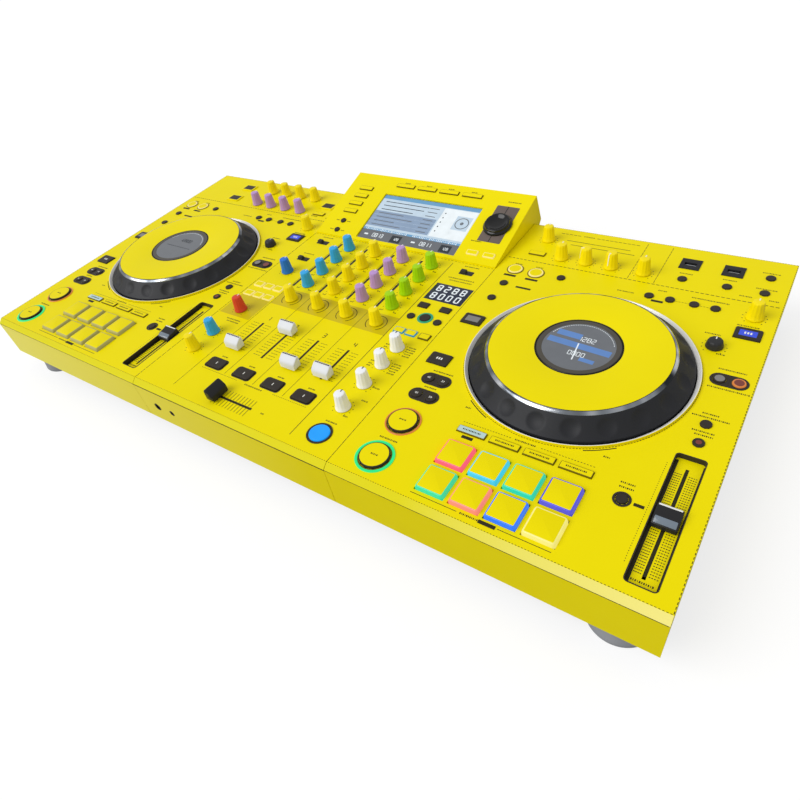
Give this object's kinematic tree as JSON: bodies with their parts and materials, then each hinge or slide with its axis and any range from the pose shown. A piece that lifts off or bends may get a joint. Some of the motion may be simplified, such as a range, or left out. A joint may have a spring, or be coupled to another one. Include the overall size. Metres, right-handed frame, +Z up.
{
  "type": "dj controller",
  "caption": "All-in-one DJ console in a yellow shell: dimpled jog wheels with round displays, mixer with coloured knobs and faders, performance pads and a raised tilted screen.",
  "frame": {"origin": "on the ground under the middle of the console", "axes": "+X to the player's right, +Y to the back, +Z up"},
  "size_m": [0.878, 0.4666, 0.1184],
  "materials": {
    "shell_yellow": "satin",
    "plate_yellow": "satin",
    "case_black": "matte",
    "screen_glass": "gloss",
    "socket_black": "matte",
    "foot_rubber": "matte",
    "board_green": "satin",
    "knob_purple": "satin",
    "knob_mixed": "satin",
    "jog_silver": "satin",
    "jog_grip": "satin",
    "cap_black": "satin",
    "cap_white": "satin",
    "knob_black": "gloss",
    "pad_rubber": "matte",
    "button_black": "satin",
    "knob_white": "satin",
    "knob_blue": "satin",
    "knob_dark_blue": "satin",
    "knob_green": "satin",
    "knob_red": "satin",
    "knob_yellow": "satin"
  },
  "bodies": {
    "case": {"lower_case": "case_black", "left_deck_cover": "shell_yellow", "mixer_cover": "shell_yellow", "right_deck_cover": "shell_yellow", "display_housing": "shell_yellow", "windows": "screen_glass", "front_sockets": "socket_black", "usb_sockets": "socket_black", "rear_sockets": "socket_black", "feet": "foot_rubber", "electronics": "board_green", "rear_panel": "case_black", "small_controls": "knob_mixed", "jog_dishes": "jog_silver"},
    "left_jog": {"left_jog_ring": "jog_grip", "left_jog_plate": "plate_yellow"},
    "right_jog": {"right_jog_ring": "jog_grip", "right_jog_plate": "plate_yellow"},
    "left_tempo": {"left_tempo_cap": "cap_black"},
    "right_tempo": {"right_tempo_cap": "cap_black"},
    "fader_1": {"fader_cap_1": "cap_white"},
    "fader_2": {"fader_cap_2": "cap_white"},
    "fader_3": {"fader_cap_3": "cap_white"},
    "fader_4": {"fader_cap_4": "cap_white"},
    "crossfader": {"crossfader_cap": "cap_black"},
    "select": {"select_knob": "knob_black"},
    "trim_1": {"trim_knob_1": "knob_blue"},
    "trim_2": {"trim_knob_2": "knob_yellow"},
    "trim_3": {"trim_knob_3": "knob_purple"},
    "trim_4": {"trim_knob_4": "knob_green"},
    "high_1": {"high_knob_1": "knob_blue"},
    "high_2": {"high_knob_2": "knob_yellow"},
    "high_3": {"high_knob_3": "knob_purple"},
    "high_4": {"high_knob_4": "knob_green"},
    "mid_1": {"mid_knob_1": "knob_blue"},
    "mid_2": {"mid_knob_2": "knob_yellow"},
    "mid_3": {"mid_knob_3": "knob_purple"},
    "mid_4": {"mid_knob_4": "knob_green"},
    "low_1": {"low_knob_1": "knob_blue"},
    "low_2": {"low_knob_2": "knob_yellow"},
    "low_3": {"low_knob_3": "knob_purple"},
    "low_4": {"low_knob_4": "knob_green"},
    "colour_1": {"colour_knob_1": "knob_yellow"},
    "colour_2": {"colour_knob_2": "knob_yellow"},
    "colour_3": {"colour_knob_3": "knob_yellow"},
    "colour_4": {"colour_knob_4": "knob_yellow"},
    "phones_level": {"phones_level_knob": "knob_yellow"},
    "phones_mix": {"phones_mix_knob": "knob_blue"},
    "colour_depth": {"colour_depth_knob": "knob_red"},
    "booth_level": {"booth_level_knob": "knob_dark_blue"},
    "fx_level": {"fx_level_knob": "knob_white"},
    "fx_time": {"fx_time_knob": "knob_white"},
    "fx_channel": {"fx_channel_knob": "knob_white"},
    "fx_effect": {"fx_effect_knob": "knob_white"},
    "left_pad_bank": {"left_pads": "pad_rubber"},
    "left_button_bank": {"left_deck_buttons": "button_black"},
    "right_pad_bank": {"right_pads": "pad_rubber"},
    "right_button_bank": {"right_deck_buttons": "button_black"},
    "mixer_button_bank": {"mixer_buttons": "button_black"},
    "display_button_bank": {"display_buttons": "button_black"}
  },
  "joints": [
    {"name": "left_jog_turn", "type": "hinge", "parent": "case", "child": "left_jog", "pos_m": [-0.28975, -0.0176, 0.084], "axis": [0, 0, 1], "continuous": true},
    {"name": "right_jog_turn", "type": "hinge", "parent": "case", "child": "right_jog", "pos_m": [0.28975, -0.0176, 0.084], "axis": [0, 0, 1], "continuous": true},
    {"name": "left_tempo_slide", "type": "slide", "parent": "case", "child": "left_tempo", "axis": [0, 1, 0], "range_m": [-0.05, 0.05]},
    {"name": "right_tempo_slide", "type": "slide", "parent": "case", "child": "right_tempo", "axis": [0, 1, 0], "range_m": [-0.05, 0.05]},
    {"name": "fader_1_slide", "type": "slide", "parent": "case", "child": "fader_1", "axis": [0, 1, 0], "range_m": [0, 0.045]},
    {"name": "fader_2_slide", "type": "slide", "parent": "case", "child": "fader_2", "axis": [0, 1, 0], "range_m": [-0.045, 0]},
    {"name": "fader_3_slide", "type": "slide", "parent": "case", "child": "fader_3", "axis": [0, 1, 0], "range_m": [0, 0.045]},
    {"name": "fader_4_slide", "type": "slide", "parent": "case", "child": "fader_4", "axis": [0, 1, 0], "range_m": [-0.00315, 0.04185]},
    {"name": "crossfader_slide", "type": "slide", "parent": "case", "child": "crossfader", "axis": [1, 0, 0], "range_m": [0, 0.045]},
    {"name": "select_turn", "type": "hinge", "parent": "case", "child": "select", "pos_m": [0.11341, 0.16406, 0.10271], "axis": [0, -0.2688, 0.9632], "continuous": true},
    {"name": "trim_1_turn", "type": "hinge", "parent": "case", "child": "trim_1", "pos_m": [-0.06449, 0.0806, 0.084], "axis": [0, 0, 1], "range_deg": [-150, 150]},
    {"name": "trim_2_turn", "type": "hinge", "parent": "case", "child": "trim_2", "pos_m": [-0.0215, 0.0806, 0.084], "axis": [0, 0, 1], "range_deg": [-150, 150]},
    {"name": "trim_3_turn", "type": "hinge", "parent": "case", "child": "trim_3", "pos_m": [0.0215, 0.0806, 0.084], "axis": [0, 0, 1], "range_deg": [-150, 150]},
    {"name": "trim_4_turn", "type": "hinge", "parent": "case", "child": "trim_4", "pos_m": [0.06449, 0.0806, 0.084], "axis": [0, 0, 1], "range_deg": [-150, 150]},
    {"name": "high_1_turn", "type": "hinge", "parent": "case", "child": "high_1", "pos_m": [-0.06449, 0.0512, 0.084], "axis": [0, 0, 1], "range_deg": [-150, 150]},
    {"name": "high_2_turn", "type": "hinge", "parent": "case", "child": "high_2", "pos_m": [-0.0215, 0.0512, 0.084], "axis": [0, 0, 1], "range_deg": [-150, 150]},
    {"name": "high_3_turn", "type": "hinge", "parent": "case", "child": "high_3", "pos_m": [0.0215, 0.0512, 0.084], "axis": [0, 0, 1], "range_deg": [-150, 150]},
    {"name": "high_4_turn", "type": "hinge", "parent": "case", "child": "high_4", "pos_m": [0.06449, 0.0512, 0.084], "axis": [0, 0, 1], "range_deg": [-150, 150]},
    {"name": "mid_1_turn", "type": "hinge", "parent": "case", "child": "mid_1", "pos_m": [-0.06449, 0.0218, 0.084], "axis": [0, 0, 1], "range_deg": [-150, 150]},
    {"name": "mid_2_turn", "type": "hinge", "parent": "case", "child": "mid_2", "pos_m": [-0.0215, 0.0218, 0.084], "axis": [0, 0, 1], "range_deg": [-150, 150]},
    {"name": "mid_3_turn", "type": "hinge", "parent": "case", "child": "mid_3", "pos_m": [0.0215, 0.0218, 0.084], "axis": [0, 0, 1], "range_deg": [-150, 150]},
    {"name": "mid_4_turn", "type": "hinge", "parent": "case", "child": "mid_4", "pos_m": [0.06449, 0.0218, 0.084], "axis": [0, 0, 1], "range_deg": [-150, 150]},
    {"name": "low_1_turn", "type": "hinge", "parent": "case", "child": "low_1", "pos_m": [-0.06449, -0.0076, 0.084], "axis": [0, 0, 1], "range_deg": [-150, 150]},
    {"name": "low_2_turn", "type": "hinge", "parent": "case", "child": "low_2", "pos_m": [-0.0215, -0.0076, 0.084], "axis": [0, 0, 1], "range_deg": [-150, 150]},
    {"name": "low_3_turn", "type": "hinge", "parent": "case", "child": "low_3", "pos_m": [0.0215, -0.0076, 0.084], "axis": [0, 0, 1], "range_deg": [-150, 150]},
    {"name": "low_4_turn", "type": "hinge", "parent": "case", "child": "low_4", "pos_m": [0.06449, -0.0076, 0.084], "axis": [0, 0, 1], "range_deg": [-150, 150]},
    {"name": "colour_1_turn", "type": "hinge", "parent": "case", "child": "colour_1", "pos_m": [-0.06449, -0.04007, 0.084], "axis": [0, 0, 1], "range_deg": [-150, 150]},
    {"name": "colour_2_turn", "type": "hinge", "parent": "case", "child": "colour_2", "pos_m": [-0.0215, -0.04007, 0.084], "axis": [0, 0, 1], "range_deg": [-150, 150]},
    {"name": "colour_3_turn", "type": "hinge", "parent": "case", "child": "colour_3", "pos_m": [0.0215, -0.04007, 0.084], "axis": [0, 0, 1], "range_deg": [-150, 150]},
    {"name": "colour_4_turn", "type": "hinge", "parent": "case", "child": "colour_4", "pos_m": [0.06449, -0.04007, 0.084], "axis": [0, 0, 1], "range_deg": [-150, 150]},
    {"name": "phones_level_turn", "type": "hinge", "parent": "case", "child": "phones_level", "pos_m": [-0.11251, -0.16074, 0.084], "axis": [0, 0, 1], "range_deg": [-150, 150]},
    {"name": "phones_mix_turn", "type": "hinge", "parent": "case", "child": "phones_mix", "pos_m": [-0.11251, -0.12915, 0.084], "axis": [0, 0, 1], "range_deg": [-150, 150]},
    {"name": "colour_depth_turn", "type": "hinge", "parent": "case", "child": "colour_depth", "pos_m": [-0.11251, -0.08176, 0.084], "axis": [0, 0, 1], "range_deg": [-150, 150]},
    {"name": "booth_level_turn", "type": "hinge", "parent": "case", "child": "booth_level", "pos_m": [-0.11251, 0.00688, 0.084], "axis": [0, 0, 1], "range_deg": [-150, 150]},
    {"name": "fx_level_turn", "type": "hinge", "parent": "case", "child": "fx_level", "pos_m": [0.11251, -0.16469, 0.084], "axis": [0, 0, 1], "range_deg": [-150, 150]},
    {"name": "fx_time_turn", "type": "hinge", "parent": "case", "child": "fx_time", "pos_m": [0.11251, -0.12915, 0.084], "axis": [0, 0, 1], "range_deg": [-150, 150]},
    {"name": "fx_channel_turn", "type": "hinge", "parent": "case", "child": "fx_channel", "pos_m": [0.11251, -0.09712, 0.084], "axis": [0, 0, 1], "range_deg": [-150, 150]},
    {"name": "fx_effect_turn", "type": "hinge", "parent": "case", "child": "fx_effect", "pos_m": [0.11251, -0.06859, 0.084], "axis": [0, 0, 1], "range_deg": [-150, 150]},
    {"name": "left_pad_bank_press", "type": "slide", "parent": "case", "child": "left_pad_bank", "axis": [0, 0, 1], "range_m": [-0.0012, 0], "stiffness_N_per_m": 400},
    {"name": "left_button_bank_press", "type": "slide", "parent": "case", "child": "left_button_bank", "axis": [0, 0, 1], "range_m": [-0.0012, 0], "stiffness_N_per_m": 400},
    {"name": "right_pad_bank_press", "type": "slide", "parent": "case", "child": "right_pad_bank", "axis": [0, 0, 1], "range_m": [-0.0012, 0], "stiffness_N_per_m": 400},
    {"name": "right_button_bank_press", "type": "slide", "parent": "case", "child": "right_button_bank", "axis": [0, 0, 1], "range_m": [-0.0012, 0], "stiffness_N_per_m": 400},
    {"name": "mixer_button_bank_press", "type": "slide", "parent": "case", "child": "mixer_button_bank", "axis": [0, 0, 1], "range_m": [-0.0012, 0], "stiffness_N_per_m": 400},
    {"name": "display_button_bank_press", "type": "slide", "parent": "case", "child": "display_button_bank", "axis": [0, -0.2688, 0.9632], "range_m": [-0.0012, 0], "stiffness_N_per_m": 400}
  ]
}
